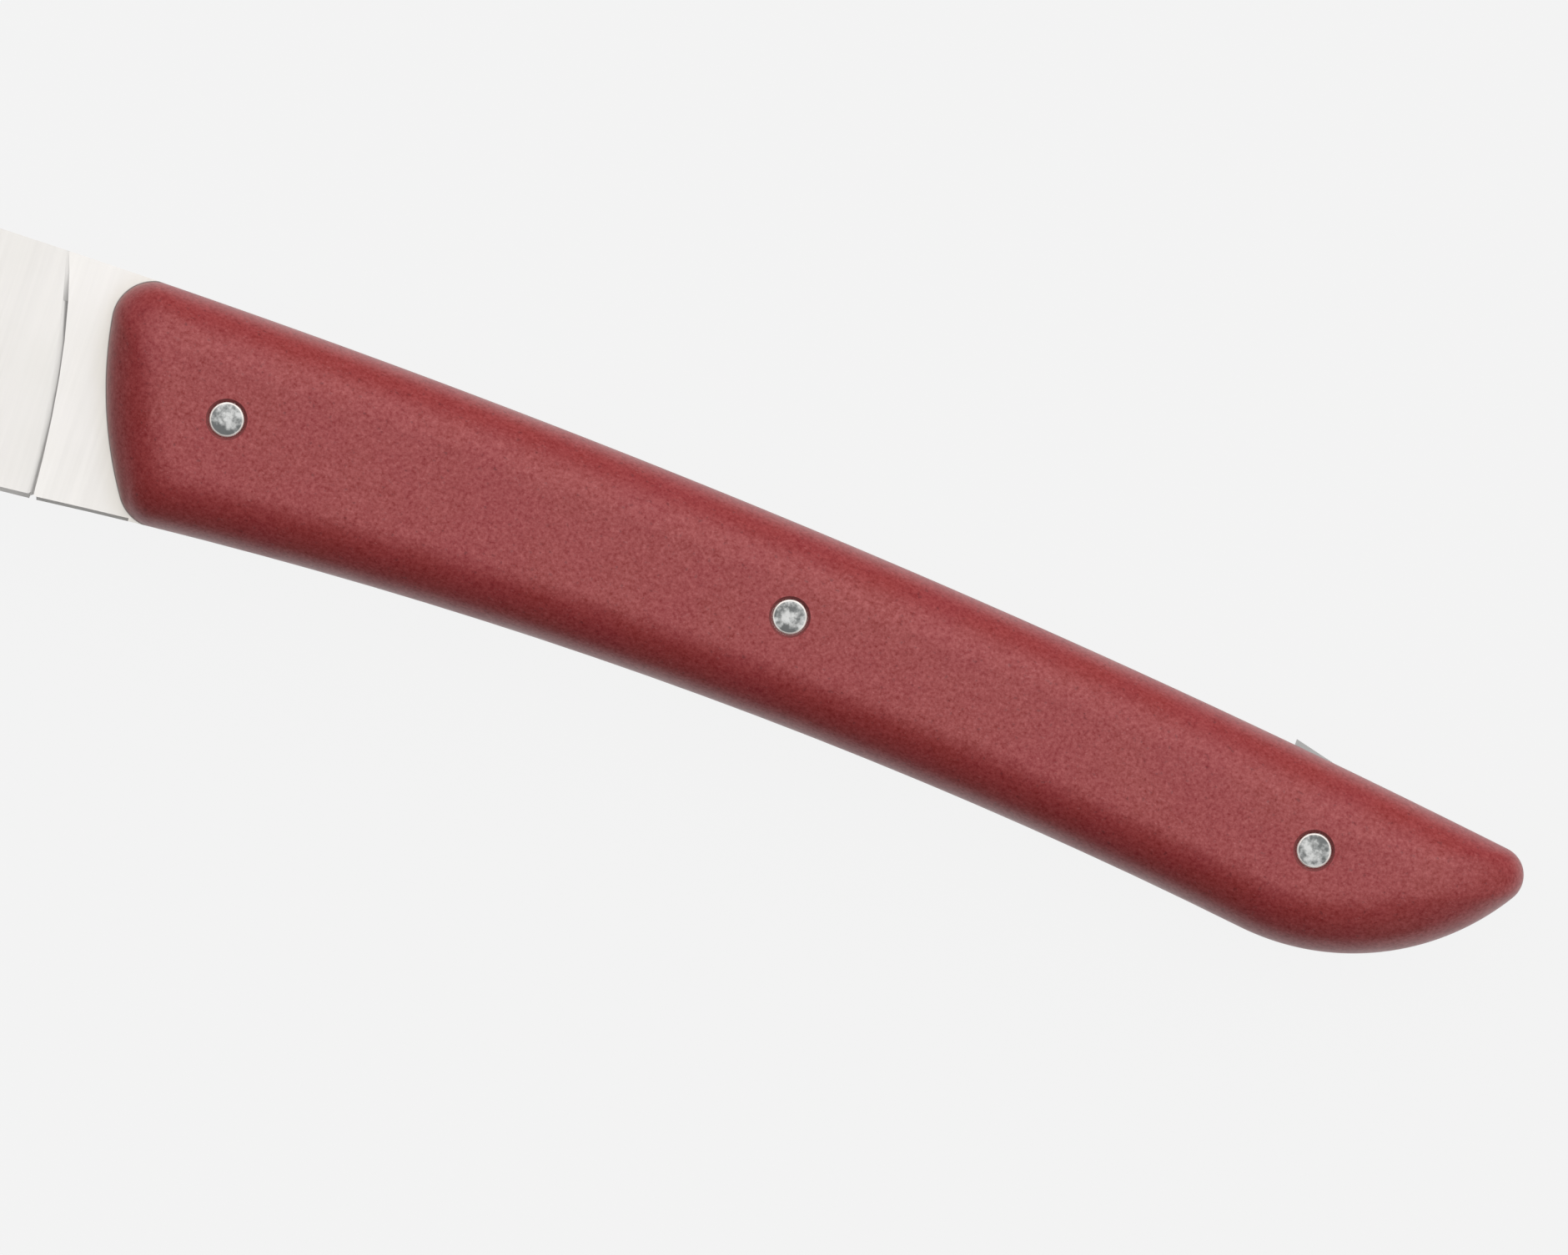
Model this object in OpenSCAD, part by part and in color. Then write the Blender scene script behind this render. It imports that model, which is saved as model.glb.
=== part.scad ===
// Full-tang table steak knife, lying on its side on the table.
// +X runs from the point of the blade to the butt of the handle, parallel to the straight back,
// +Y from the cutting edge to the back, and +Z up, out of the left side of the knife.
// The origin is on the table, under the centre of the knife's outline.

/* [Blade] */
// Length of the blade from the top of the plunge line to the point
blade_len = 107; // [85:1:130]
// Straight stretch of the back, forward of the plunge line
back_straight = 58; // [40:1:70]
// How far the point lies below the straight back
point_drop = 10.5; // [7:0.5:14]
// How far the cutting edge bows out from a straight line
edge_bow = 4.6; // [3:0.1:6]
// Thickness left behind the cutting bevel at the heel
ground_t = 0.36; // [0.3:0.02:0.9]
// Thickness left by the grind at the point
point_t = 0.8; // [0.6:0.05:1.1]
// Thickness of the cutting edge itself
edge_t = 0.1; // [0.05:0.01:0.15]
// Angle of the cutting bevel to the middle of the blade, on each side
bevel_angle = 22; // [12:1:30]

/* [Plunge line] */
// How much further back the plunge line stands at the edge than at the back
plunge_lean = 3.1; // [0:0.1:4]
// How far the plunge line bows towards the handle
plunge_bow = 0.55; // [0.2:0.05:1]
// Fillet at the foot of the plunge
plunge_r = 0.55; // [0.4:0.05:1.5]
// Radius of the small notch that ends the cutting edge
choil_r = 0.3; // [0.2:0.05:0.6]
// How deep the notch bites into the edge
choil_depth = 0.35; // [0.2:0.05:0.5]

/* [Steel] */
// Thickness of the tang and of the flat between blade and scales
steel_t = 2.5; // [2:0.1:3.2]
// Chamfer along the lower edge of that flat
flat_chamfer = 0.25; // [0.1:0.05:0.5]

/* [Handle outline] */
// Length of the scales along the back, corner to corner
handle_len = 126.1; // [110:0.1:140]
// Bare flat between the plunge line and the scales, along the back
flat_len = 4.4; // [3:0.1:10]
// Radius of the back of the handle
spine_r = 887; // [600:1:1400]
// Where the curve of the back begins, forward of the plunge line
spine_start = 5.6; // [2:0.1:12]
// Depth of the handle's waist, its slimmest place, below the straight back
waist_depth = 18.3; // [17:0.1:20]
// Distance of the waist from the plunge line
waist_back = 44.9; // [35:0.1:55]
// Radius of the hollow belly, from the heel to the butt
belly_r = 437; // [350:1:600]
// Radius of the round butt
butt_r = 21; // [17:0.1:24]
// Rounding of the corner between butt and back
butt_corner_r = 2.4; // [1.5:0.1:3]
// How much further back the scales start at the belly than at the back
front_lean = 6.7; // [3:0.1:9]
// How far the front end of the scales bows forward
front_bow = 1.6; // [0.5:0.1:2.5]
// Rounding of the corners at the front end of the scales
front_corner_r = 3.4; // [2.5:0.1:5]

/* [Scales] */
// Thickness of one scale
scale_t = 5.5; // [4:0.05:6.5]
// Width of the rounded margin around the flat of a scale
round_w = 5; // [3.5:0.1:5.6]
// Rounding of that flat's corners, as a share of the rounding of the outline's corners
land_corner_share = 0.75; // [0.5:0.05:1]

/* [Rivets] */
// Diameter of a rivet
rivet_d = 3; // [2:0.1:4]
// Distance of the front rivet from the upper front corner of the scales
rivet_front = 11.9; // [9:0.1:18]
// Distance of the rear rivet from the butt corner
rivet_rear = 18.5; // [15:0.1:22]
// Place of the middle rivet as a share of the way from the front one to the rear one
rivet_mid_share = 0.511; // [0.4:0.001:0.6]
// How far the rivets stand above the middle of the handle's depth
rivet_lift = 0.6; // [0:0.05:1]
// Rise of a rivet's rounded end
rivet_dome = 0.12; // [0.05:0.01:0.25]
// Chamfer of a rivet hole's mouth
mouth_chamfer = 0.2; // [0.1:0.05:0.4]
// Gap between a rivet and its holes, all round
rivet_gap = 0.01; // [0.01:0.01:0.04]

/* [Back nib] */
// Length of the small nib of the tang that stands out of the back
nib_len = 3.5; // [2:0.1:6]
// Height of the nib's crest above the back
nib_h = 0.5; // [0.2:0.05:0.8]
// Distance from the front of the nib to the butt corner
nib_back = 22.6; // [18:0.1:26]

/* [Hidden] */

side_steps = 22; // segments of a long side of an outline
butt_steps = 14; // segments of the round butt, an even number
front_steps = 8; // segments of the front end, an even number
corner_steps = 7; // segments of a rounded corner, an odd number
margin_steps = 10; // rings across the rounded margin of a scale
overrun = 1; // how far a cut runs past what it cuts
back_relief = 0.03; // step that the grind leaves at the back, beside the plunge line
nib_foot_share = 0.42; // half the nib's width at its foot, as a share of the steel's thickness
round_fn = 96;
wheel_fn = 256;

knife_t = steel_t + 2 * scale_t;
rivet_r = rivet_d / 2;

// The circle through p and q that bows out by bow, to the right of the way from p to q:
// [centre, radius, 1 where the outline bulges or -1 where it is hollow].
function bowed(p, q, bow) =
    let (
        chord = norm(q - p),
        r = (chord * chord / 4 + bow * bow) / (2 * abs(bow)),
        out = [q.y - p.y, p.x - q.x] / chord
    )
    [(p + q) / 2 - out * sign(bow) * (r - abs(bow)), r, sign(bow)];

// Height of a side's arc at x, on the side of the circle that faces up (1) or down (-1)
function height_at(side, x, facing) =
    side[0].y + facing * sqrt(side[1] * side[1] - pow(x - side[0].x, 2));

// Where the circles of radius r1 about c1 and r2 about c2 cross, on the side that is closer to near
function crossing(c1, r1, c2, r2, near) =
    let (
        apart = norm(c2 - c1),
        along = (r1 * r1 - r2 * r2 + apart * apart) / (2 * apart),
        across = sqrt(max(0, r1 * r1 - along * along)),
        e = (c2 - c1) / apart,
        a = c1 + e * along + [-e.y, e.x] * across,
        b = c1 + e * along - [-e.y, e.x] * across
    )
    norm(a - near) < norm(b - near) ? a : b;

// Points about centre c, the short way round from a to b
function arc_points(c, a, b, steps) =
    let (
        from = atan2(a.y - c.y, a.x - c.x),
        to = atan2(b.y - c.y, b.x - c.x),
        sweep = (to - from + 540) % 360 - 180
    )
    [for (i = [0:steps]) c + norm(a - c) * [cos(from + sweep * i / steps), sin(from + sweep * i / steps)]];

// Where a side, moved in by inset, faces the point p
function facing_point(side, p, inset) =
    side[0] + (p - side[0]) / norm(p - side[0]) * (side[1] - side[2] * inset);

// The rounded corner between two sides, both moved in by inset
function corner_points(side_in, side_out, vertex, r, inset) =
    let (
        k = r + inset,
        c = crossing(side_in[0], side_in[1] - side_in[2] * k, side_out[0], side_out[1] - side_out[2] * k, vertex)
    )
    arc_points(c, facing_point(side_in, c, inset), facing_point(side_out, c, inset), corner_steps);

// The points of a side between two others on it, without those two
function between(side, a, b, steps) =
    let (all = arc_points(side[0], a, b, steps))
    [for (i = [1:steps - 1]) all[i]];

// The sides of the handle, measured from the top of the plunge line
butt_x = flat_len + handle_len;
spine = [[-spine_start, -spine_r], spine_r, 1];
belly = [[waist_back, -waist_depth - belly_r], belly_r, -1];
butt_corner = [butt_x, height_at(spine, butt_x, 1)];
front_back_corner = [flat_len, height_at(spine, flat_len, 1)];
butt = [crossing(belly[0], belly_r + butt_r, butt_corner, butt_r, front_back_corner), butt_r, 1];
front_belly_x = flat_len + front_lean;
front_belly_corner = [front_belly_x, height_at(belly, front_belly_x, 1)];
front = bowed(front_back_corner, front_belly_corner, front_bow);

// The outline of a scale, moved in by inset
function scale_ring(inset) =
    let (
        share = 1 + (land_corner_share - 1) * inset / round_w,
        sole = facing_point(belly, butt[0], inset),
        tail = corner_points(butt, spine, butt_corner, butt_corner_r * share, inset),
        top = corner_points(spine, front, front_back_corner, front_corner_r * share, inset),
        bottom = corner_points(front, belly, front_belly_corner, front_corner_r * share, inset)
    )
    concat(
        between(belly, bottom[corner_steps], sole, side_steps), [sole],
        between(butt, sole, tail[0], butt_steps), tail,
        between(spine, tail[corner_steps], top[0], side_steps), top,
        between(front, top[corner_steps], bottom[0], front_steps), bottom
    );

// The outline of the steel: blade, flat and tang
heel = [plunge_lean, height_at(belly, plunge_lean, 1)];
point = [-blade_len, -point_drop];
edge = bowed(point, heel, edge_bow);
drop_run = blade_len - back_straight;
drop_r = (drop_run * drop_run + point_drop * point_drop) / (2 * point_drop);
drop_centre = [-back_straight, -drop_r];
tang_sole = facing_point(belly, butt[0], 0);
tang_tail = corner_points(butt, spine, butt_corner, butt_corner_r, 0);
steel_outline = concat(
    arc_points(edge[0], point, heel, side_steps),
    between(belly, heel, tang_sole, side_steps), [tang_sole],
    between(butt, tang_sole, tang_tail[0], butt_steps), tang_tail,
    between(spine, tang_tail[corner_steps], [-spine_start, 0], side_steps), [[-spine_start, 0]],
    [[-back_straight, 0]], between([drop_centre, drop_r, 1], [-back_straight, 0], point, side_steps)
);

// The middle of the whole outline, which stands over the origin
low = [min([for (p = steel_outline) p.x]), min([for (p = steel_outline) p.y])];
high = [max([for (p = steel_outline) p.x]), max([for (p = steel_outline) p.y])];
middle = (low + high) / 2;

function rivet_at(x) = [x, (height_at(spine, x, 1) + height_at(belly, x, 1)) / 2 + rivet_lift];
rivet_front_x = flat_len + rivet_front;
rivet_rear_x = butt_x - rivet_rear;
rivet_mid_x = rivet_front_x + (rivet_rear_x - rivet_front_x) * rivet_mid_share;
rivet_places = [for (x = [rivet_front_x, rivet_mid_x, rivet_rear_x]) rivet_at(x)];

// Moves a drawing about the middle of the steel to its place on the table
module placed() {
    translate([-middle.x, -middle.y, knife_t / 2]) children();
}

// The plane of the grind on the left side: its height at the top of the plunge line, and its slopes
// along X and Y, which bring it to the right height at the heel and at the point
grind_top = steel_t / 2 - back_relief;
grind_at_heel = ground_t / 2 - grind_top;
grind_at_point = point_t / 2 - grind_top;
grind_slope = [
    grind_at_heel * point.y - grind_at_point * heel.y,
    grind_at_point * heel.x - grind_at_heel * point.x
] / cross(heel, point);

// The round of the plunge line is the rim of the grinding wheel, and its fillet the wheel's worn corner
wheel = bowed(heel, [0, 0], plunge_bow);

module grinding_wheel() {
    centre = wheel[0];
    normal = [-grind_slope.x, -grind_slope.y, 1];
    translate([centre.x, centre.y, grind_top + grind_slope * centre])
        rotate(a = acos(normal.z / norm(normal)), v = cross([0, 0, 1], normal))
            rotate_extrude($fn = wheel_fn) {
                square([wheel[1] - plunge_r, 2 * steel_t]);
                translate([0, plunge_r]) square([wheel[1], 2 * steel_t - plunge_r]);
                translate([wheel[1] - plunge_r, plunge_r]) circle(r = plunge_r, $fn = round_fn);
            }
}

// What the stone takes off the left side of the edge: all that lies outside a cone about the edge's arc
module edge_bevel() {
    foot_r = edge[1] + edge_t / 2 / tan(bevel_angle);
    depth = -min(heel.y, edge[0].y - edge[1]);
    difference() {
        translate([-blade_len - overrun, -depth - overrun, 0])
            cube([blade_len + overrun + plunge_lean - choil_r, depth + 2 * overrun, steel_t]);
        translate([edge[0].x, edge[0].y, 0])
            cylinder(r1 = foot_r, r2 = foot_r - steel_t / tan(bevel_angle), h = steel_t, $fn = wheel_fn);
    }
}

// The cone that chamfers the hollow lower edge of the flat, on its left side
module flat_edge_cut() {
    foot_r = belly[1] - steel_t / 2 + flat_chamfer;
    intersection() {
        translate([belly[0].x, belly[0].y, 0])
            cylinder(r1 = foot_r, r2 = foot_r + steel_t, h = steel_t, $fn = wheel_fn);
        translate([plunge_lean, heel.y - overrun, 0])
            cube([front_belly_x - plunge_lean, steel_t + overrun, steel_t]);
    }
}

module on_both_sides() {
    children();
    mirror([0, 0, 1]) children();
}

// The nib tapers to the rear, and falls off to both sides like a roof
module nib() {
    x = butt_x - nib_back;
    from = [x, height_at(spine, x, 1)];
    to = [x + nib_len, height_at(spine, x + nib_len, 1)];
    intersection() {
        linear_extrude(height = steel_t, center = true)
            polygon([from - [0, nib_h], to - [0, nib_h], to, from + [0, nib_h]]);
        on_both_sides()
            translate([spine[0].x, spine[0].y, 0])
                cylinder(
                    r1 = spine_r + nib_h, r2 = spine_r - nib_h,
                    h = 2 * nib_foot_share * steel_t, $fn = wheel_fn
                );
    }
}

module blade_and_tang() {
    placed()
        color([0.86, 0.85, 0.83])
            difference() {
                union() {
                    linear_extrude(height = steel_t, center = true) polygon(steel_outline);
                    nib();
                }
                on_both_sides() {
                    grinding_wheel();
                    edge_bevel();
                    flat_edge_cut();
                }
                translate([heel.x, heel.y - choil_r + choil_depth, 0])
                    cylinder(r = choil_r, h = 2 * steel_t, center = true, $fn = round_fn);
                for (p = rivet_places)
                    translate([p.x, p.y, 0])
                        cylinder(r = rivet_r + rivet_gap, h = 2 * steel_t, center = true, $fn = round_fn);
            }
}

// A scale's solid: rings of its outline that rise and draw in along a quarter of an ellipse. Its flats
// are laid like a ladder, whose rungs run from the back to the belly and start at the middle of the front
module scale_body() {
    rings = [for (i = [0:margin_steps]) let (a = 90 * i / margin_steps)
        [for (p = scale_ring(round_w * (1 - cos(a)))) [p.x, p.y, steel_t / 2 + scale_t * sin(a)]]];
    n = len(rings[0]);
    squares = [for (k = [0:margin_steps - 1], i = [0:n - 1])
        [k * n + i, (k + 1) * n + i, (k + 1) * n + (i + 1) % n, k * n + (i + 1) % n]];
    front_middle = n - 1 - corner_steps - front_steps / 2;
    rungs = [for (k = [0:(n - 1) / 2]) [front_middle - k, (front_middle + k) % n]];
    foot = concat(
        [[front_middle, rungs[1][1], rungs[1][0]]],
        [for (k = [1:len(rungs) - 2]) [rungs[k][0], rungs[k][1], rungs[k + 1][1], rungs[k + 1][0]]]
    );
    polyhedron(
        points = [for (ring = rings) each ring],
        faces = concat(
            foot,
            [for (face = foot) [for (i = [len(face) - 1:-1:0]) margin_steps * n + face[i]]],
            [for (s = squares) [s[0], s[1], s[2]]],
            [for (s = squares) [s[0], s[2], s[3]]]
        )
    );
}

module scale_shape() {
    outer = knife_t / 2;
    hole_r = rivet_r + rivet_gap;
    mouth_reach = mouth_chamfer + overrun;
    difference() {
        scale_body();
        for (p = rivet_places)
            translate([p.x, p.y, 0]) {
                cylinder(r = hole_r, h = outer + overrun, $fn = round_fn);
                translate([0, 0, outer - mouth_chamfer])
                    cylinder(r1 = hole_r, r2 = hole_r + mouth_reach, h = mouth_reach, $fn = round_fn);
            }
    }
}

module left_scale() {
    placed() color([0.56, 0.16, 0.18]) scale_shape();
}

module right_scale() {
    placed() color([0.56, 0.16, 0.18]) mirror([0, 0, 1]) scale_shape();
}

// A plain pin through both scales and the tang, its ends rounded over to just below the scales' faces
module rivet(place) {
    dome_r = (rivet_r * rivet_r + rivet_dome * rivet_dome) / (2 * rivet_dome);
    top = knife_t / 2 - rivet_gap;
    placed()
        color([0.75, 0.76, 0.78])
            translate([place.x, place.y, 0])
                intersection() {
                    cylinder(r = rivet_r, h = 2 * top, center = true, $fn = round_fn);
                    translate([0, 0, top - dome_r]) sphere(r = dome_r, $fn = wheel_fn);
                    translate([0, 0, dome_r - top]) sphere(r = dome_r, $fn = wheel_fn);
                }
}

module front_rivet() {
    rivet(rivet_places[0]);
}

module middle_rivet() {
    rivet(rivet_places[1]);
}

module rear_rivet() {
    rivet(rivet_places[2]);
}

blade_and_tang();
left_scale();
right_scale();
front_rivet();
middle_rivet();
rear_rivet();
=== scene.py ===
import math

import bpy
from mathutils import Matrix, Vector
from mathutils.geometry import delaunay_2d_cdt


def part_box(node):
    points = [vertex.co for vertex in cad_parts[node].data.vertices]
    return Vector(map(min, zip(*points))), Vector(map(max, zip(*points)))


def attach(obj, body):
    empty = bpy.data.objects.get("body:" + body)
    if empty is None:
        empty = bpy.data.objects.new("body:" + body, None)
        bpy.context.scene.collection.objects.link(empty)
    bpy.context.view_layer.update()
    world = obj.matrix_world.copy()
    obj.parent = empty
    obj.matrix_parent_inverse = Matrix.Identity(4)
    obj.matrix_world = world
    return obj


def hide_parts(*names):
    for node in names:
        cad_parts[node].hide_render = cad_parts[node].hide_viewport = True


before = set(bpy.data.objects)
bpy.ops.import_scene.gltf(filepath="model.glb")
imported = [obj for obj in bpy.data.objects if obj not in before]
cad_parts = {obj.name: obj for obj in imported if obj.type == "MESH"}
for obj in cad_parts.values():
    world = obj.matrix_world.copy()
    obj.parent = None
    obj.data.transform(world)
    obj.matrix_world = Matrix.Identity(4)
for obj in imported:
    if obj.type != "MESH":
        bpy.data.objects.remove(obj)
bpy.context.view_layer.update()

MM = 0.001

# Sizes of the knife, in millimetres, as the solids have them
BLADE_LEN = 107
HANDLE_LEN = 126.1
FLAT_LEN = 4.4
SPINE_R = 887
SPINE_START = 5.6
WAIST_DEPTH = 18.3
WAIST_BACK = 44.9
BELLY_R = 437
BUTT_R = 21
BUTT_CORNER_R = 2.4
FRONT_LEAN = 6.7
FRONT_BOW = 1.6
FRONT_CORNER_R = 3.4
ROUND_W = 5
LAND_CORNER_SHARE = 0.75
RIVET_GAP = 0.01
MOUTH_CHAMFER = 0.2

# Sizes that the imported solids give
steel_low, steel_high = [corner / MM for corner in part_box("blade_and_tang")]
scale_low, scale_high = [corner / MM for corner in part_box("left_scale")]
rivet_low, rivet_high = [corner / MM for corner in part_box("front_rivet")]
STEEL_T = steel_high.z - steel_low.z
SCALE_T = scale_high.z - scale_low.z
MIDDLE_Z = (steel_low.z + steel_high.z) / 2
PLUNGE_TOP = Vector((steel_low.x + BLADE_LEN, steel_high.y))
RIVET_R = (rivet_high.x - rivet_low.x) / 2
RIVET_TOP = rivet_high.z - MIDDLE_Z
RIVETS = ("front_rivet", "middle_rivet", "rear_rivet")

# The worn end of a rivet: the rise of its rounding, how far its rim is worn down and from what share
# of its radius, and how far the end is sunk so that its bumps stay below the scale's face
DOME = 0.09
RIM_DROP = 0.1
RIM_FROM_SHARE = 0.875
END_SINK = 0.012

# The hollows in that end: how deep the wide and the fine ones are, the power of the radius by which
# they fade towards the rim, and how much their waves shift for each millimetre from rivet to rivet
WIDE_DENT = 0.011
FINE_DENT = 0.004
DENT_FADE_POWER = 4
DENT_SHIFT = 0.7

# The waves whose products are the hollows, as radians to the millimetre along and across the knife
WIDE_WAVES = ((2.1, 1.3), (-0.9, 1.7))
FINE_WAVES = ((5.3, -3.1), (2.3, 4.7))

# The share of a rivet's radius from which its rim carries a painted highlight, and over what share that
# grows
BRIGHT_FROM_SHARE = 0.84
BRIGHT_GROWTH_SHARE = 0.06

# Where polishing has softened the plunge: its reach along the blade, the depths below the back
# between which it grows, and how much of the lean it takes away
PLUNGE_REACH = 4.2
PLUNGE_FADE_FROM = 24
PLUNGE_FADE_TO = 7
PLUNGE_POLISH_SHARE = 0.98

# Steps of the fine meshes
SIDE_STEPS = 150
BUTT_STEPS = 60
FRONT_STEPS = 40
CORNER_STEPS = 20
MARGIN_STEPS = 40
ROUND_STEPS = 96
RIVET_RINGS = 40

# The least angle, in degrees, at which two faces meet in a crisp edge
CRISP_ANGLE = 30

# A flat outline is closed on its inside only, and points closer than this, in millimetres, are one
INSIDE_ONLY = 1
SAME_POINT = 1e-6
# A face whose middle lies within this share of a hole's radius would close the hole
HOLE_SHARE = 0.999


def side_through(p, q, bow):
    """The circle through p and q that bows out by bow to the right: centre, radius, 1 as it bulges."""
    chord = (q - p).length
    r = (chord * chord / 4 + bow * bow) / (2 * abs(bow))
    out = Vector((q.y - p.y, p.x - q.x)) / chord
    side = math.copysign(1, bow)
    return (p + q) / 2 - out * side * (r - abs(bow)), r, side


def height_at(side, x):
    return side[0].y + math.sqrt(side[1] ** 2 - (x - side[0].x) ** 2)


def crossing(c1, r1, c2, r2, near):
    """Where two circles cross, on the side that is closer to near."""
    apart = (c2 - c1).length
    along = (r1 * r1 - r2 * r2 + apart * apart) / (2 * apart)
    across = math.sqrt(max(0, r1 * r1 - along * along))
    e = (c2 - c1) / apart
    sideways = Vector((-e.y, e.x)) * across
    return min((c1 + e * along + sideways, c1 + e * along - sideways), key=lambda p: (p - near).length)


def arc_points(centre, a, b, steps):
    """Points about a centre, the short way round from a to b."""
    start = math.atan2(a.y - centre.y, a.x - centre.x)
    end = math.atan2(b.y - centre.y, b.x - centre.x)
    sweep = (end - start + math.pi) % (2 * math.pi) - math.pi
    r = (a - centre).length
    angles = [start + sweep * i / steps for i in range(steps + 1)]
    return [centre + r * Vector((math.cos(t), math.sin(t))) for t in angles]


def facing_point(side, p, inset):
    """Where a side, moved in by inset, faces the point p."""
    return side[0] + (p - side[0]).normalized() * (side[1] - side[2] * inset)


def corner_middle(side_in, side_out, vertex, depth):
    """The point near a corner that lies at the same depth inside both of its sides."""
    r_in = side_in[1] - side_in[2] * depth
    r_out = side_out[1] - side_out[2] * depth
    return crossing(side_in[0], r_in, side_out[0], r_out, vertex)


def corner_points(side_in, side_out, vertex, r, inset):
    """The rounded corner between two sides, both moved in by inset."""
    c = corner_middle(side_in, side_out, vertex, r + inset)
    return arc_points(c, facing_point(side_in, c, inset), facing_point(side_out, c, inset), CORNER_STEPS)


def between(side, a, b, steps):
    """The points of a side between two others on it, without those two."""
    return arc_points(side[0], a, b, steps)[1:-1]


# The sides of the handle, measured from the top of the plunge line
butt_x = FLAT_LEN + HANDLE_LEN
spine = (Vector((-SPINE_START, -SPINE_R)), SPINE_R, 1)
belly = (Vector((WAIST_BACK, -WAIST_DEPTH - BELLY_R)), BELLY_R, -1)
butt_corner = Vector((butt_x, height_at(spine, butt_x)))
front_back_corner = Vector((FLAT_LEN, height_at(spine, FLAT_LEN)))
butt_centre = crossing(belly[0], BELLY_R + BUTT_R, butt_corner, BUTT_R, front_back_corner)
butt = (butt_centre, BUTT_R, 1)
front_belly_x = FLAT_LEN + FRONT_LEAN
front_belly_corner = Vector((front_belly_x, height_at(belly, front_belly_x)))
front = side_through(front_back_corner, front_belly_corner, FRONT_BOW)


def scale_ring(inset):
    """The outline of a scale, moved in by inset."""
    share = 1 + (LAND_CORNER_SHARE - 1) * inset / ROUND_W
    sole = facing_point(belly, butt[0], inset)
    tail = corner_points(butt, spine, butt_corner, BUTT_CORNER_R * share, inset)
    top = corner_points(spine, front, front_back_corner, FRONT_CORNER_R * share, inset)
    bottom = corner_points(front, belly, front_belly_corner, FRONT_CORNER_R * share, inset)
    return (
        between(belly, bottom[-1], sole, SIDE_STEPS) + [sole]
        + between(butt, sole, tail[0], BUTT_STEPS) + tail
        + between(spine, tail[-1], top[0], SIDE_STEPS) + top
        + between(front, top[-1], bottom[0], FRONT_STEPS) + bottom
    )


def rivet_place(name):
    """The middle of a rivet, measured from the top of the plunge line."""
    low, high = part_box(name)
    return Vector(((low.x + high.x) / 2, (low.y + high.y) / 2)) / MM - PLUNGE_TOP


def circle(centre, r):
    turns = [2 * math.pi * i / ROUND_STEPS for i in range(ROUND_STEPS)]
    return [centre + r * Vector((math.cos(t), math.sin(t))) for t in turns]


def middle_of(points):
    return sum(points, Vector((0, 0))) / len(points)


class Shape:
    """A mesh in the making, in millimetres from the top of the plunge line and the steel's middle."""

    def __init__(self):
        self.points = []
        self.faces = []
        self.finishes = []

    def add(self, points):
        """Adds points and gives their numbers."""
        first = len(self.points)
        self.points += points
        return list(range(first, len(self.points)))

    def ring(self, outline, z):
        return self.add([(p.x, p.y, z) for p in outline])

    def close(self, corners, finish=0):
        self.faces.append(tuple(corners))
        self.finishes.append(finish)

    def bridge(self, lower, upper, finish=0):
        """Closes the band between two rings."""
        n = len(lower)
        for i in range(n):
            j = (i + 1) % n
            self.close((lower[i], lower[j], upper[j], upper[i]), finish)

    def fill(self, outer, holes, up):
        """Closes a flat outline around its round holes."""
        corners = []
        edges = []
        for loop in [outer] + holes:
            first = len(corners)
            n = len(loop)
            corners += loop
            edges += [(first + i, first + (i + 1) % n) for i in range(n)]
        flat = [Vector(self.points[i][:2]) for i in corners]
        _, _, found, sources, _, _ = delaunay_2d_cdt(flat, edges, [], INSIDE_ONLY, SAME_POINT)
        origin = [numbers[0] for numbers in sources]
        rounds = []
        for hole in holes:
            rim = [Vector(self.points[i][:2]) for i in hole]
            centre = middle_of(rim)
            rounds.append((centre, (rim[0] - centre).length))
        for face in found:
            numbers = [origin[v] for v in face]
            middle = middle_of([flat[i] for i in numbers])
            if any((middle - centre).length < r * HOLE_SHARE for centre, r in rounds):
                continue
            picked = [corners[i] for i in numbers]
            self.close(picked if up else reversed(picked))

    def make(self, name, flip=False):
        """Makes the object, on the left side of the knife or, flipped, on the right one."""
        sign = -1 if flip else 1
        mesh = bpy.data.meshes.new(name)
        points = [((x + PLUNGE_TOP.x) * MM, (y + PLUNGE_TOP.y) * MM, (MIDDLE_Z + sign * z) * MM)
                  for x, y, z in self.points]
        faces = [tuple(reversed(f)) for f in self.faces] if flip else self.faces
        mesh.from_pydata(points, [], faces)
        mesh.polygons.foreach_set("material_index", self.finishes)
        mesh.shade_smooth()
        mesh.set_sharp_from_angle(angle=math.radians(CRISP_ANGLE))
        piece = bpy.data.objects.new(name, mesh)
        bpy.context.scene.collection.objects.link(piece)
        return piece


def scale_shape():
    """A scale: rings that rise and draw in along a quarter of an ellipse, two flats, and the holes."""
    shape = Shape()
    foot = STEEL_T / 2
    top = foot + SCALE_T
    hole_r = RIVET_R + RIVET_GAP
    outer = []
    for i in range(MARGIN_STEPS + 1):
        a = math.pi / 2 * i / MARGIN_STEPS
        outer.append(shape.ring(scale_ring(ROUND_W * (1 - math.cos(a))), foot + SCALE_T * math.sin(a)))
    for lower, upper in zip(outer, outer[1:]):
        shape.bridge(lower, upper)
    mouths = []
    feet = []
    for name in RIVETS:
        c = rivet_place(name)
        mouth = shape.ring(circle(c, hole_r + MOUTH_CHAMFER), top)
        neck = shape.ring(circle(c, hole_r), top - MOUTH_CHAMFER)
        base = shape.ring(circle(c, hole_r), foot)
        # The mouth and wall of each hole take the second finish, the seam's painted shade and dirt
        shape.bridge(mouth, neck, 1)
        shape.bridge(neck, base, 1)
        mouths.append(mouth)
        feet.append(base)
    shape.fill(outer[-1], mouths, True)
    shape.fill(outer[0], feet, False)
    return shape


def ripple(waves, x, y, shift):
    return math.sin(waves[0] * x + waves[1] * y + shift)


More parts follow.
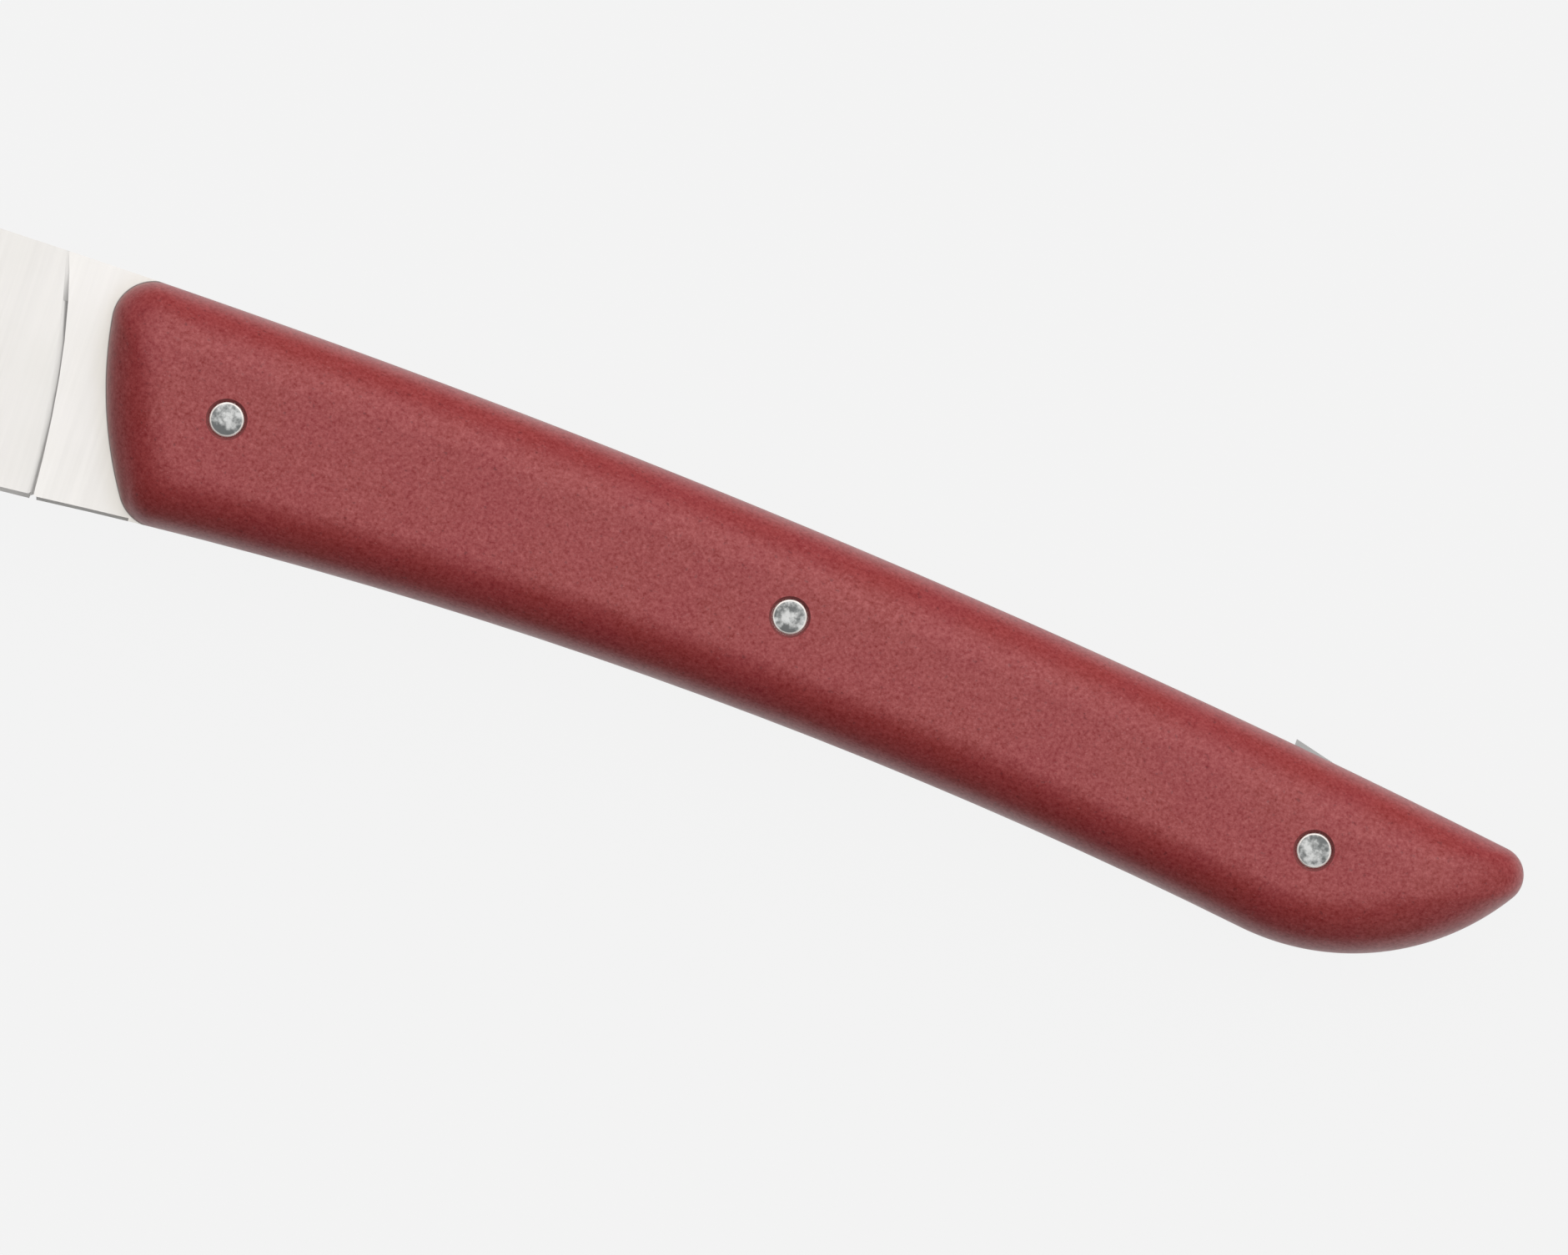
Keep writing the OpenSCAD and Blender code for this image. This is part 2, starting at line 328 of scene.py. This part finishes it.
def rivet_dents(place, x, y):
    """Shallow uneven hollows that hammering and grinding leave on a rivet's end."""
    shift = DENT_SHIFT * place.x
    wide = ripple(WIDE_WAVES[0], x, y, shift) * ripple(WIDE_WAVES[1], x, y, 2 * shift)
    fine = ripple(FINE_WAVES[0], x, y, 3 * shift) * ripple(FINE_WAVES[1], x, y, shift)
    return WIDE_DENT * wide + FINE_DENT * fine


def end_height(share):
    """How high a rivet's end stands at a share of its radius, before its hollows."""
    worn = max(0, (share - RIM_FROM_SHARE) / (1 - RIM_FROM_SHARE))
    return RIVET_TOP - END_SINK - DOME * share ** 2 - RIM_DROP * worn ** 2


def rivet_shape(place):
    """A pin with two rounded ends, whose rims are worn."""
    shape = Shape()
    shares = [math.sin(math.pi / 2 * i / (RIVET_RINGS - 1)) for i in range(1, RIVET_RINGS)]
    rings = []
    for side in (1, -1):
        for share in shares if side > 0 else reversed(shares):
            fade = 1 - share ** DENT_FADE_POWER
            points = []
            for p in circle(place, RIVET_R * share):
                dent = fade * rivet_dents(place, p.x - place.x, side * (p.y - place.y))
                points.append((p.x, p.y, side * (end_height(share) + dent)))
            rings.append(shape.add(points))
    for upper, lower in zip(rings, rings[1:]):
        shape.bridge(lower, upper)
    for side, ring in ((1, rings[0]), (-1, rings[-1])):
        tip_height = end_height(0) + rivet_dents(place, 0, 0)
        tip = shape.add([(place.x, place.y, side * tip_height)])[0]
        for i in range(ROUND_STEPS):
            j = (i + 1) % ROUND_STEPS
            shape.close((ring[i], ring[j], tip) if side > 0 else (ring[j], ring[i], tip))
    return shape


def mark_rim(piece, place):
    """Marks the points near a rivet's edge with a share from 0 to 1, where its painted highlight goes.
    """
    mesh = piece.data
    rim = mesh.attributes.new("rim", "FLOAT", "POINT")
    for i, vertex in enumerate(mesh.vertices):
        share = (Vector(vertex.co[:2]) / MM - PLUNGE_TOP - place).length / RIVET_R
        rim.data[i].value = min(1, max(0, (share - BRIGHT_FROM_SHARE) / BRIGHT_GROWTH_SHARE))


class Nodes:
    """A node tree in the making."""

    def __init__(self, tree):
        self.tree = tree
        tree.nodes.clear()

    def add(self, kind, inputs=None, **settings):
        node = self.tree.nodes.new("ShaderNode" + kind)
        for key, value in settings.items():
            setattr(node, key, value)
        for key, value in (inputs or {}).items():
            if isinstance(value, bpy.types.NodeSocket):
                self.tree.links.new(value, node.inputs[key])
            else:
                node.inputs[key].default_value = value
        return node

    def math(self, operation, a, b=0.0):
        return self.add("Math", {0: a, 1: b}, operation=operation).outputs[0]

    def vector(self, operation, a, b=(0, 0, 0)):
        return self.add("VectorMath", {0: a, 1: b}, operation=operation).outputs["Vector"]

    def measure(self, operation, a, b):
        """The distance or the dot product of two vectors."""
        return self.add("VectorMath", {0: a, 1: b}, operation=operation).outputs["Value"]

    def span(self, value, over, to, smooth=True):
        """Carries a value from one pair of ends over to another, level beyond them."""
        kind = "SMOOTHSTEP" if smooth else "LINEAR"
        inputs = {
            "Value": value,
            "From Min": over[0],
            "From Max": over[1],
            "To Min": to[0],
            "To Max": to[1],
        }
        return self.add("MapRange", inputs, interpolation_type=kind).outputs[0]

    def noise(self, place, scale, detail=2.0, rough=0.5):
        inputs = {"Vector": place, "Scale": scale, "Detail": detail, "Roughness": rough}
        return self.add("TexNoise", inputs).outputs[0]

    def stretched(self, place, turn, scale):
        """Coordinates turned about the vertical, then stretched."""
        inputs = {"Vector": place, "Rotation": (0, 0, turn), "Scale": scale}
        return self.add("Mapping", inputs).outputs[0]

    def mix(self, share, a, b):
        return self.add("Mix", {0: share, 2: a, 3: b}).outputs[0]

    def blend(self, share, a, b):
        """Goes from the colour a to the colour b."""
        return self.add("Mix", {0: share, 6: a, 7: b}, data_type="RGBA").outputs[2]


def new_material(name):
    material = bpy.data.materials.new(name)
    material.use_nodes = True
    return material, Nodes(material.node_tree)


# The ends between which nearly all of a noise lies, and the narrower ones of the fine grain
NOISE = (0.3, 0.7)
GRAIN = (0.31, 0.69)

# Tones of the red plastic, where a pair of them makes clouds
RED_CLOUDS = ((0.205, 0.015, 0.013, 1), (0.212, 0.013, 0.019, 1))
RED_LIGHT = (0.35, 0.042, 0.043, 1)
RED_PIT = (0.11, 0.006, 0.009, 1)
RED_SCUFF = (0.42, 0.11, 0.11, 1)
RED_GLOSS = (1, 0.78, 0.78, 1)

# How much of the grain is the coarser mottle, and how much of their tone pits and scuffs bring
MOTTLE_SHARE = 0.22
PIT_SHARE = 0.5
SCUFF_SHARE = 0.4

# The heights of their noises between which pits and scuffs grow, in the tone and in the relief
SPECK_TONE = (0.62, 0.74)
PIT_RELIEF = (0.66, 0.76)
SCUFF_RELIEF = (0.64, 0.76)
# How deep pits go and how high scuffs stand, against the relief of the grain
PIT_DEPTH = 0.8
SCUFF_RISE = 0.5


def red_scale_material():
    """Moulded red plastic, with a fine grain, faint clouds, small dark pits and pale scuffs."""
    material, n = new_material("red_scale")
    place = n.add("TexCoord").outputs["Object"]
    cloud = n.noise(place, scale=160.0, detail=3.0, rough=0.6)
    mottle = n.noise(place, scale=1500.0)
    fine = n.noise(place, scale=3400.0, detail=3.0, rough=0.7)
    grain = n.mix(MOTTLE_SHARE, fine, mottle)
    pits = n.noise(n.stretched(place, turn=0.9, scale=(1.0, 1.3, 1.0)), scale=2300.0)
    scuffs = n.noise(n.stretched(place, turn=0.4, scale=(1.0, 1.6, 1.0)), scale=3100.0)
    dark = n.blend(n.span(cloud, NOISE, (0.0, 1.0)), *RED_CLOUDS)
    grained = n.blend(n.span(grain, GRAIN, (0.0, 1.0), smooth=False), RED_LIGHT, dark)
    pitted = n.blend(n.span(pits, SPECK_TONE, (0.0, PIT_SHARE)), grained, RED_PIT)
    colour = n.blend(n.span(scuffs, SPECK_TONE, (0.0, SCUFF_SHARE)), pitted, RED_SCUFF)
    raised = n.math("ADD", fine, n.span(scuffs, SCUFF_RELIEF, (0.0, SCUFF_RISE)))
    relief = n.math("SUBTRACT", raised, n.span(pits, PIT_RELIEF, (0.0, PIT_DEPTH)))
    bump = n.add("Bump", {"Height": relief, "Strength": 0.4, "Distance": 0.02 * MM}).outputs[0]
    shader = n.add("BsdfPrincipled", {
        "Base Color": colour,
        "Roughness": n.span(cloud, NOISE, (0.33, 0.4)),
        "IOR": 1.63,
        "Specular IOR Level": n.span(grain, GRAIN, (0.77, 0.23), smooth=False),
        "Specular Tint": RED_GLOSS,
        "Normal": bump,
    })
    n.add("OutputMaterial", {"Surface": shader.outputs[0]})
    return material


# Tones of the dark ring between a rivet and its scale: painted shade in the hole's mouth, with dirt
SEAM_SHADE_AND_DIRT_TONES = ((0.15, 0.035, 0.035, 1), (0.22, 0.05, 0.05, 1))


def seam_material():
    """The dark ring between a rivet and its scale: painted shade in the mouth of the hole, with dirt."""
    material, n = new_material("seam")
    place = n.add("TexCoord").outputs["Object"]
    # Painted shade and dirt on the walls of the hole's mouth
    colour = n.blend(n.noise(place, scale=1500.0), *SEAM_SHADE_AND_DIRT_TONES)
    shader = n.add("BsdfPrincipled", {
        "Base Color": colour,
        "Roughness": n.span(n.noise(place, scale=2600.0), NOISE, (0.55, 0.75)),
        "IOR": 1.3,
    })
    n.add("OutputMaterial", {"Surface": shader.outputs[0]})
    return material


def front_gap(n, place):
    """Distance, in millimetres, from the front end of a scale out over the steel."""
    spot = n.vector("MULTIPLY", place, (1 / MM, 1 / MM, 0))

    def outside(middle, r):
        distance = n.measure("DISTANCE", spot, (middle + PLUNGE_TOP).to_3d())
        return n.math("SUBTRACT", distance, r)

    # Past either end of the front, the distance is the one from the rounded corner there
    gap = outside(front[0], front[1])
    for side, vertex in ((spine, front_back_corner), (belly, front_belly_corner)):
        middle = corner_middle(front, side, vertex, FRONT_CORNER_R)
        outward = (middle - front[0]).normalized()
        along = Vector((-outward.y, outward.x))
        along *= math.copysign(1, along.dot(vertex - middle))
        height = n.measure("DOT_PRODUCT", spot, along.to_3d())
        beyond = n.math("GREATER_THAN", height, along.dot(middle + PLUNGE_TOP))
        gap = n.mix(beyond, gap, outside(middle, FRONT_CORNER_R))
    return gap


def softened_plunge(n, along, up):
    """Normals whose lean along the blade fades towards its back, as polishing softens the plunge."""
    near = n.math("LESS_THAN", n.math("ABSOLUTE", along), PLUNGE_REACH * MM)
    depths = (-PLUNGE_FADE_FROM * MM, -PLUNGE_FADE_TO * MM)
    polish = n.span(up, depths, (0.0, PLUNGE_POLISH_SHARE), smooth=False)
    kept = n.math("SUBTRACT", 1.0, n.math("MULTIPLY", near, polish))
    scale = n.add("CombineXYZ", {0: kept, 1: 1.0, 2: 1.0}).outputs[0]
    normal = n.add("NewGeometry").outputs["Normal"]
    return n.vector("NORMALIZE", n.vector("MULTIPLY", normal, scale))


# Tones of the steel, where a pair of them makes clouds
STEEL_CLOUDS = ((0.76, 0.742, 0.718, 1), (0.78, 0.76, 0.742, 1))
STEEL_BAND = (0.71, 0.695, 0.68, 1)
STEEL_BRUSHED = (0.6, 0.585, 0.57, 1)
# Painted shade that the scales' front end would cast on the steel beside it
STEEL_PAINTED_SHADE = (0.65, 0.61, 0.52, 1)
STEEL_LINE = (0.12, 0.09, 0.09, 1)
# The tang's edges between the scales, painted darker as shade
TANG_SHADE_CLOUDS = ((0.32, 0.315, 0.31, 1), (0.58, 0.57, 0.56, 1))

# How much of their tone the bands, the brush marks, the painted shade and the dark line bring
BAND_SHARE = 0.25
BRUSH_SHARE = 0.12
PAINTED_SHADE_SHARE = 0.3
LINE_SHARE = 0.9

# The heights of their noise between which the brush marks grow
BRUSH = (0.35, 0.75)
# How far from the scales' front end, in millimetres, the dark line is full and is gone, and the same
# for the painted shade beside it, whose distance has the noise of the clouds added to it
LINE_REACH = (0.03, 0.12)
PAINTED_SHADE_REACH = (0.4, 2.2)
# The distances inside that front end at which the steel is fully painted darker as shade and not
# darkened yet
SUNK_REACH = (-0.4, -0.2)


def steel_material():
    """Satin steel, ground in fine lines across the blade, with painted shade beside the scales' front
    end and the tang's edges painted darker as shade.
    """
    material, n = new_material("blade_steel")
    place = n.add("TexCoord").outputs["Object"]
    brush_place = n.stretched(place, turn=0.0, scale=(3200.0, 60.0, 400.0))
    band_place = n.stretched(place, turn=0.0, scale=(420.0, 25.0, 100.0))
    brush = n.noise(brush_place, scale=1.0, detail=3.0, rough=0.6)
    bands = n.noise(band_place, scale=1.0)
    cloud = n.noise(place, scale=130.0, detail=3.0, rough=0.55)
    gap = front_gap(n, place)
    clean = n.blend(n.span(cloud, NOISE, (0.0, 1.0)), *STEEL_CLOUDS)
    banded = n.blend(n.span(bands, NOISE, (0.0, BAND_SHARE)), clean, STEEL_BAND)
    brushed = n.blend(n.span(brush, BRUSH, (0.0, BRUSH_SHARE), smooth=False), banded, STEEL_BRUSHED)
    # Painted shade on the steel beside the scales' front end, fading over about two millimetres
    painted_shade = n.span(n.math("ADD", gap, cloud), PAINTED_SHADE_REACH, (PAINTED_SHADE_SHARE, 0.0))
    shaded = n.blend(painted_shade, brushed, STEEL_PAINTED_SHADE)
    line = n.span(n.math("ABSOLUTE", gap), LINE_REACH, (LINE_SHARE, 0.0))
    lined = n.blend(line, shaded, STEEL_LINE)
    # Behind the scales' front end the tang's edges and nib are painted darker, as painted shade between
    # the scales
    tang_shade = n.blend(cloud, *TANG_SHADE_CLOUDS)
    spread = n.add("SeparateXYZ", {0: place}).outputs
    from_plunge = n.math("SUBTRACT", spread[0], PLUNGE_TOP.x * MM)
    behind_front = (front_belly_x * MM, (front_belly_x + FRONT_LEAN) * MM)
    behind = n.span(from_plunge, behind_front, (0.0, 1.0))
    sunk = n.span(gap, SUNK_REACH, (1.0, 0.0))
    colour = n.blend(n.math("MAXIMUM", behind, sunk), lined, tang_shade)
    up = n.math("SUBTRACT", spread[1], PLUNGE_TOP.y * MM)
    bump = n.add("Bump", {
        "Height": brush,
        "Strength": 0.03,
        "Distance": 0.01 * MM,
        "Normal": softened_plunge(n, from_plunge, up),
    }).outputs[0]
    shader = n.add("BsdfPrincipled", {
        "Base Color": colour,
        "Metallic": 0.6,
        "Roughness": n.span(brush, NOISE, (0.28, 0.34), smooth=False),
        "Normal": bump,
    })
    n.add("OutputMaterial", {"Surface": shader.outputs[0]})
    return material


# Tones of the rivets: the stain and the clean steel of their ends, and the painted highlight on the rim,
# warmed as a painted reflection of the red scale
RIVET_STAINS = ((0.13, 0.135, 0.135, 1), (0.47, 0.475, 0.47, 1))
RIVET_PAINTED_HIGHLIGHT = (0.88, 0.8, 0.76, 1)

# The heights of their noise between which the stains give way to clean steel, in tone and in gloss
STAIN_TONE = (0.4, 0.62)
STAIN_GLOSS = (0.38, 0.64)


def rivet_material():
    """Stained steel with a painted highlight on its rim."""
    material, n = new_material("rivet_steel")
    place = n.add("TexCoord").outputs["Object"]
    rim = n.add("Attribute", attribute_name="rim").outputs["Fac"]
    dents = n.noise(place, scale=1400.0)
    stain = n.noise(place, scale=850.0, detail=4.0, rough=0.62)
    worn = n.blend(n.span(stain, STAIN_TONE, (0.0, 1.0)), *RIVET_STAINS)
    # The rim is painted pale and warm: a painted highlight with a painted reflection of the red scale
    colour = n.blend(rim, worn, RIVET_PAINTED_HIGHLIGHT)
    bump = n.add("Bump", {"Height": dents, "Strength": 0.6, "Distance": 0.05 * MM}).outputs[0]
    shader = n.add("BsdfPrincipled", {
        "Base Color": colour,
        "Metallic": 1.0,
        "Roughness": n.span(stain, STAIN_GLOSS, (0.34, 0.22)),
        "Normal": bump,
    })
    n.add("OutputMaterial", {"Surface": shader.outputs[0]})
    return material


# The photograph's frame: its width and scale in pixels, its centre in millimetres from the top of the
# plunge line, and the turn of the knife in it in degrees
PHOTO_W = 1880
PX_PER_MM = 14.6
VIEW_CENTRE = Vector((65.02, -11.17))
VIEW_TURN = 18.1

# The lens and its sensor, in millimetres, and how far the camera sees, in metres
LENS = 1000
SENSOR = 36
SIGHT = 20

# The directions of the photograph's right side and top, on the table
TURN = math.radians(VIEW_TURN)
UP = Vector((0, 0, 1))
RIGHT = Vector((math.cos(TURN), math.sin(TURN), 0))
TOP = Vector((-math.sin(TURN), math.cos(TURN), 0))


def make_camera():
    """A camera far above the knife, which looks straight down."""
    data = bpy.data.cameras.new("camera")
    data.lens = LENS
    data.sensor_width = SENSOR
    data.clip_end = SIGHT
    camera = bpy.data.objects.new("camera", data)
    centre = VIEW_CENTRE + PLUNGE_TOP
    distance = PHOTO_W / PX_PER_MM * LENS / SENSOR
    camera.location = Vector((centre.x, centre.y, MIDDLE_Z + distance)) * MM
    camera.rotation_euler = (0, 0, TURN)
    bpy.context.scene.collection.objects.link(camera)
    bpy.context.scene.camera = camera


# Tones of the floor, where light falls on it and where it shows plain
FLOOR_MATTE = (0.25, 0.25, 0.25, 1)
FLOOR_PLAIN = (0.955, 0.955, 0.955, 1)
# Share of the floor that shows plain, without light or shadow on it
PLAIN_SHARE = 0.92
# How far from the middle of the handle, in millimetres, gloss mirrors the floor as pale, and where
# that ends
MIRRORED = (18, 42)
# How far the floor reaches to each side, in metres, and how far it lies below the knife, in millimetres
FLOOR_REACH = 3
FLOOR_DROP = 0.05


def make_floor():
    """A pale matte floor, seen and mirrored as a nearly even tone."""
    material, n = new_material("floor")
    material.cycles.emission_sampling = "NONE"
    matte = n.add("BsdfDiffuse", {"Color": FLOOR_MATTE}).outputs[0]
    plain = n.add("Emission", {"Color": FLOOR_PLAIN}).outputs[0]
    spot = n.add("TexCoord").outputs["Object"]
    away = n.measure("DISTANCE", spot, ((spine[0] + PLUNGE_TOP) * MM).to_3d())
    handle_r = SPINE_R - WAIST_DEPTH / 2
    aside = n.math("ABSOLUTE", n.math("SUBTRACT", away, handle_r * MM))
    close_by = n.span(aside, (MIRRORED[0] * MM, MIRRORED[1] * MM), (1.0, 0.0))
    path = n.add("LightPath").outputs
    mirrored = n.math("MULTIPLY", path["Is Glossy Ray"], close_by)
    seen = n.math("MULTIPLY", n.math("MAXIMUM", path["Is Camera Ray"], mirrored), PLAIN_SHARE)
    n.add("OutputMaterial", {"Surface": n.add("MixShader", {0: seen, 1: matte, 2: plain}).outputs[0]})
    turns = ((-1, -1), (1, -1), (1, 1), (-1, 1))
    corners = [(x * FLOOR_REACH, y * FLOOR_REACH, -FLOOR_DROP * MM) for x, y in turns]
    mesh = bpy.data.meshes.new("floor")
    mesh.from_pydata(corners, [], [(0, 1, 2, 3)])
    floor = bpy.data.objects.new("floor", mesh)
    floor.data.materials.append(material)
    bpy.context.scene.collection.objects.link(floor)


# Brightness of the mirrored lamp and of the broad glow
LAMP = 1.52
GLOW = 1.83
# How far each leans from straight overhead, towards the photograph's top and its right side
LAMP_LEAN = (0.364, 0.05)
GLOW_LEAN = (1.68, 1.02)
# The angles from its middle, in degrees, at which each begins to fade and is gone
LAMP_FADE = (18, 66)
GLOW_FADE = (14, 130)
# The brightness that the sides mirror, the cosines between which it grows, and the way in which it
# does, again towards the photograph's top and its right side
SIDE_BRIGHTNESS = (0.2, 0.6)
SIDE_GROWTH = (0.25, 0.9)
SIDE_LEAN = (-0.64, 0.77)
# The tint of the light, and the tone behind all
LIGHT_TINT = (1, 0.998, 0.99, 1)
BACKGROUND = (0.896, 0.896, 0.896, 1)


def make_world():
    """Gloss mirrors a wide soft lamp overhead and dim sides, and matte surfaces get a broad glow."""
    world = bpy.data.worlds.new("studio")
    bpy.context.scene.world = world
    world.cycles.sampling_method = "NONE"
    world.use_nodes = True
    n = Nodes(world.node_tree)
    towards = n.add("TexCoord").outputs["Generated"]

    def level(lean):
        return TOP * lean[0] + RIGHT * lean[1]

    def along(direction):
        return n.measure("DOT_PRODUCT", towards, direction.normalized())

    def soft_spot(lean, fade):
        away = n.math("ARCCOSINE", along(UP + level(lean)))
        return n.span(away, [math.radians(angle) for angle in fade], (1.0, 0.0))

    lamp = soft_spot(LAMP_LEAN, LAMP_FADE)
    sides = n.span(along(level(SIDE_LEAN)), SIDE_GROWTH, SIDE_BRIGHTNESS)
    mirrored = n.math("ADD", n.math("MULTIPLY", lamp, n.math("SUBTRACT", LAMP, sides)), sides)
    glow = n.math("MULTIPLY", soft_spot(GLOW_LEAN, GLOW_FADE), GLOW)
    path = n.add("LightPath").outputs
    radiance = n.mix(path["Is Glossy Ray"], glow, mirrored)
    light = n.add("Background", {"Color": LIGHT_TINT, "Strength": radiance}).outputs[0]
    plain = n.add("Background", {"Color": BACKGROUND, "Strength": 1.0}).outputs[0]
    seen = path["Is Camera Ray"]
    n.add("OutputWorld", {"Surface": n.add("MixShader", {0: seen, 1: light, 2: plain}).outputs[0]})


def dress(node, material):
    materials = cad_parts[node].data.materials
    materials.clear()
    materials.append(material)


bpy.context.scene.view_settings.view_transform = "Standard"
red = red_scale_material()
seam = seam_material()
steel = steel_material()
pin = rivet_material()
dress("blade_and_tang", steel)
for name, flip in (("left_scale", False), ("right_scale", True)):
    piece = scale_shape().make(name + "_smooth", flip)
    piece.data.materials.append(red)
    piece.data.materials.append(seam)
    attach(piece, "root")
    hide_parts(name)
for name in RIVETS:
    place = rivet_place(name)
    piece = rivet_shape(place).make(name + "_smooth")
    mark_rim(piece, place)
    piece.data.materials.append(pin)
    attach(piece, "root")
    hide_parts(name)

make_camera()
make_floor()
make_world()
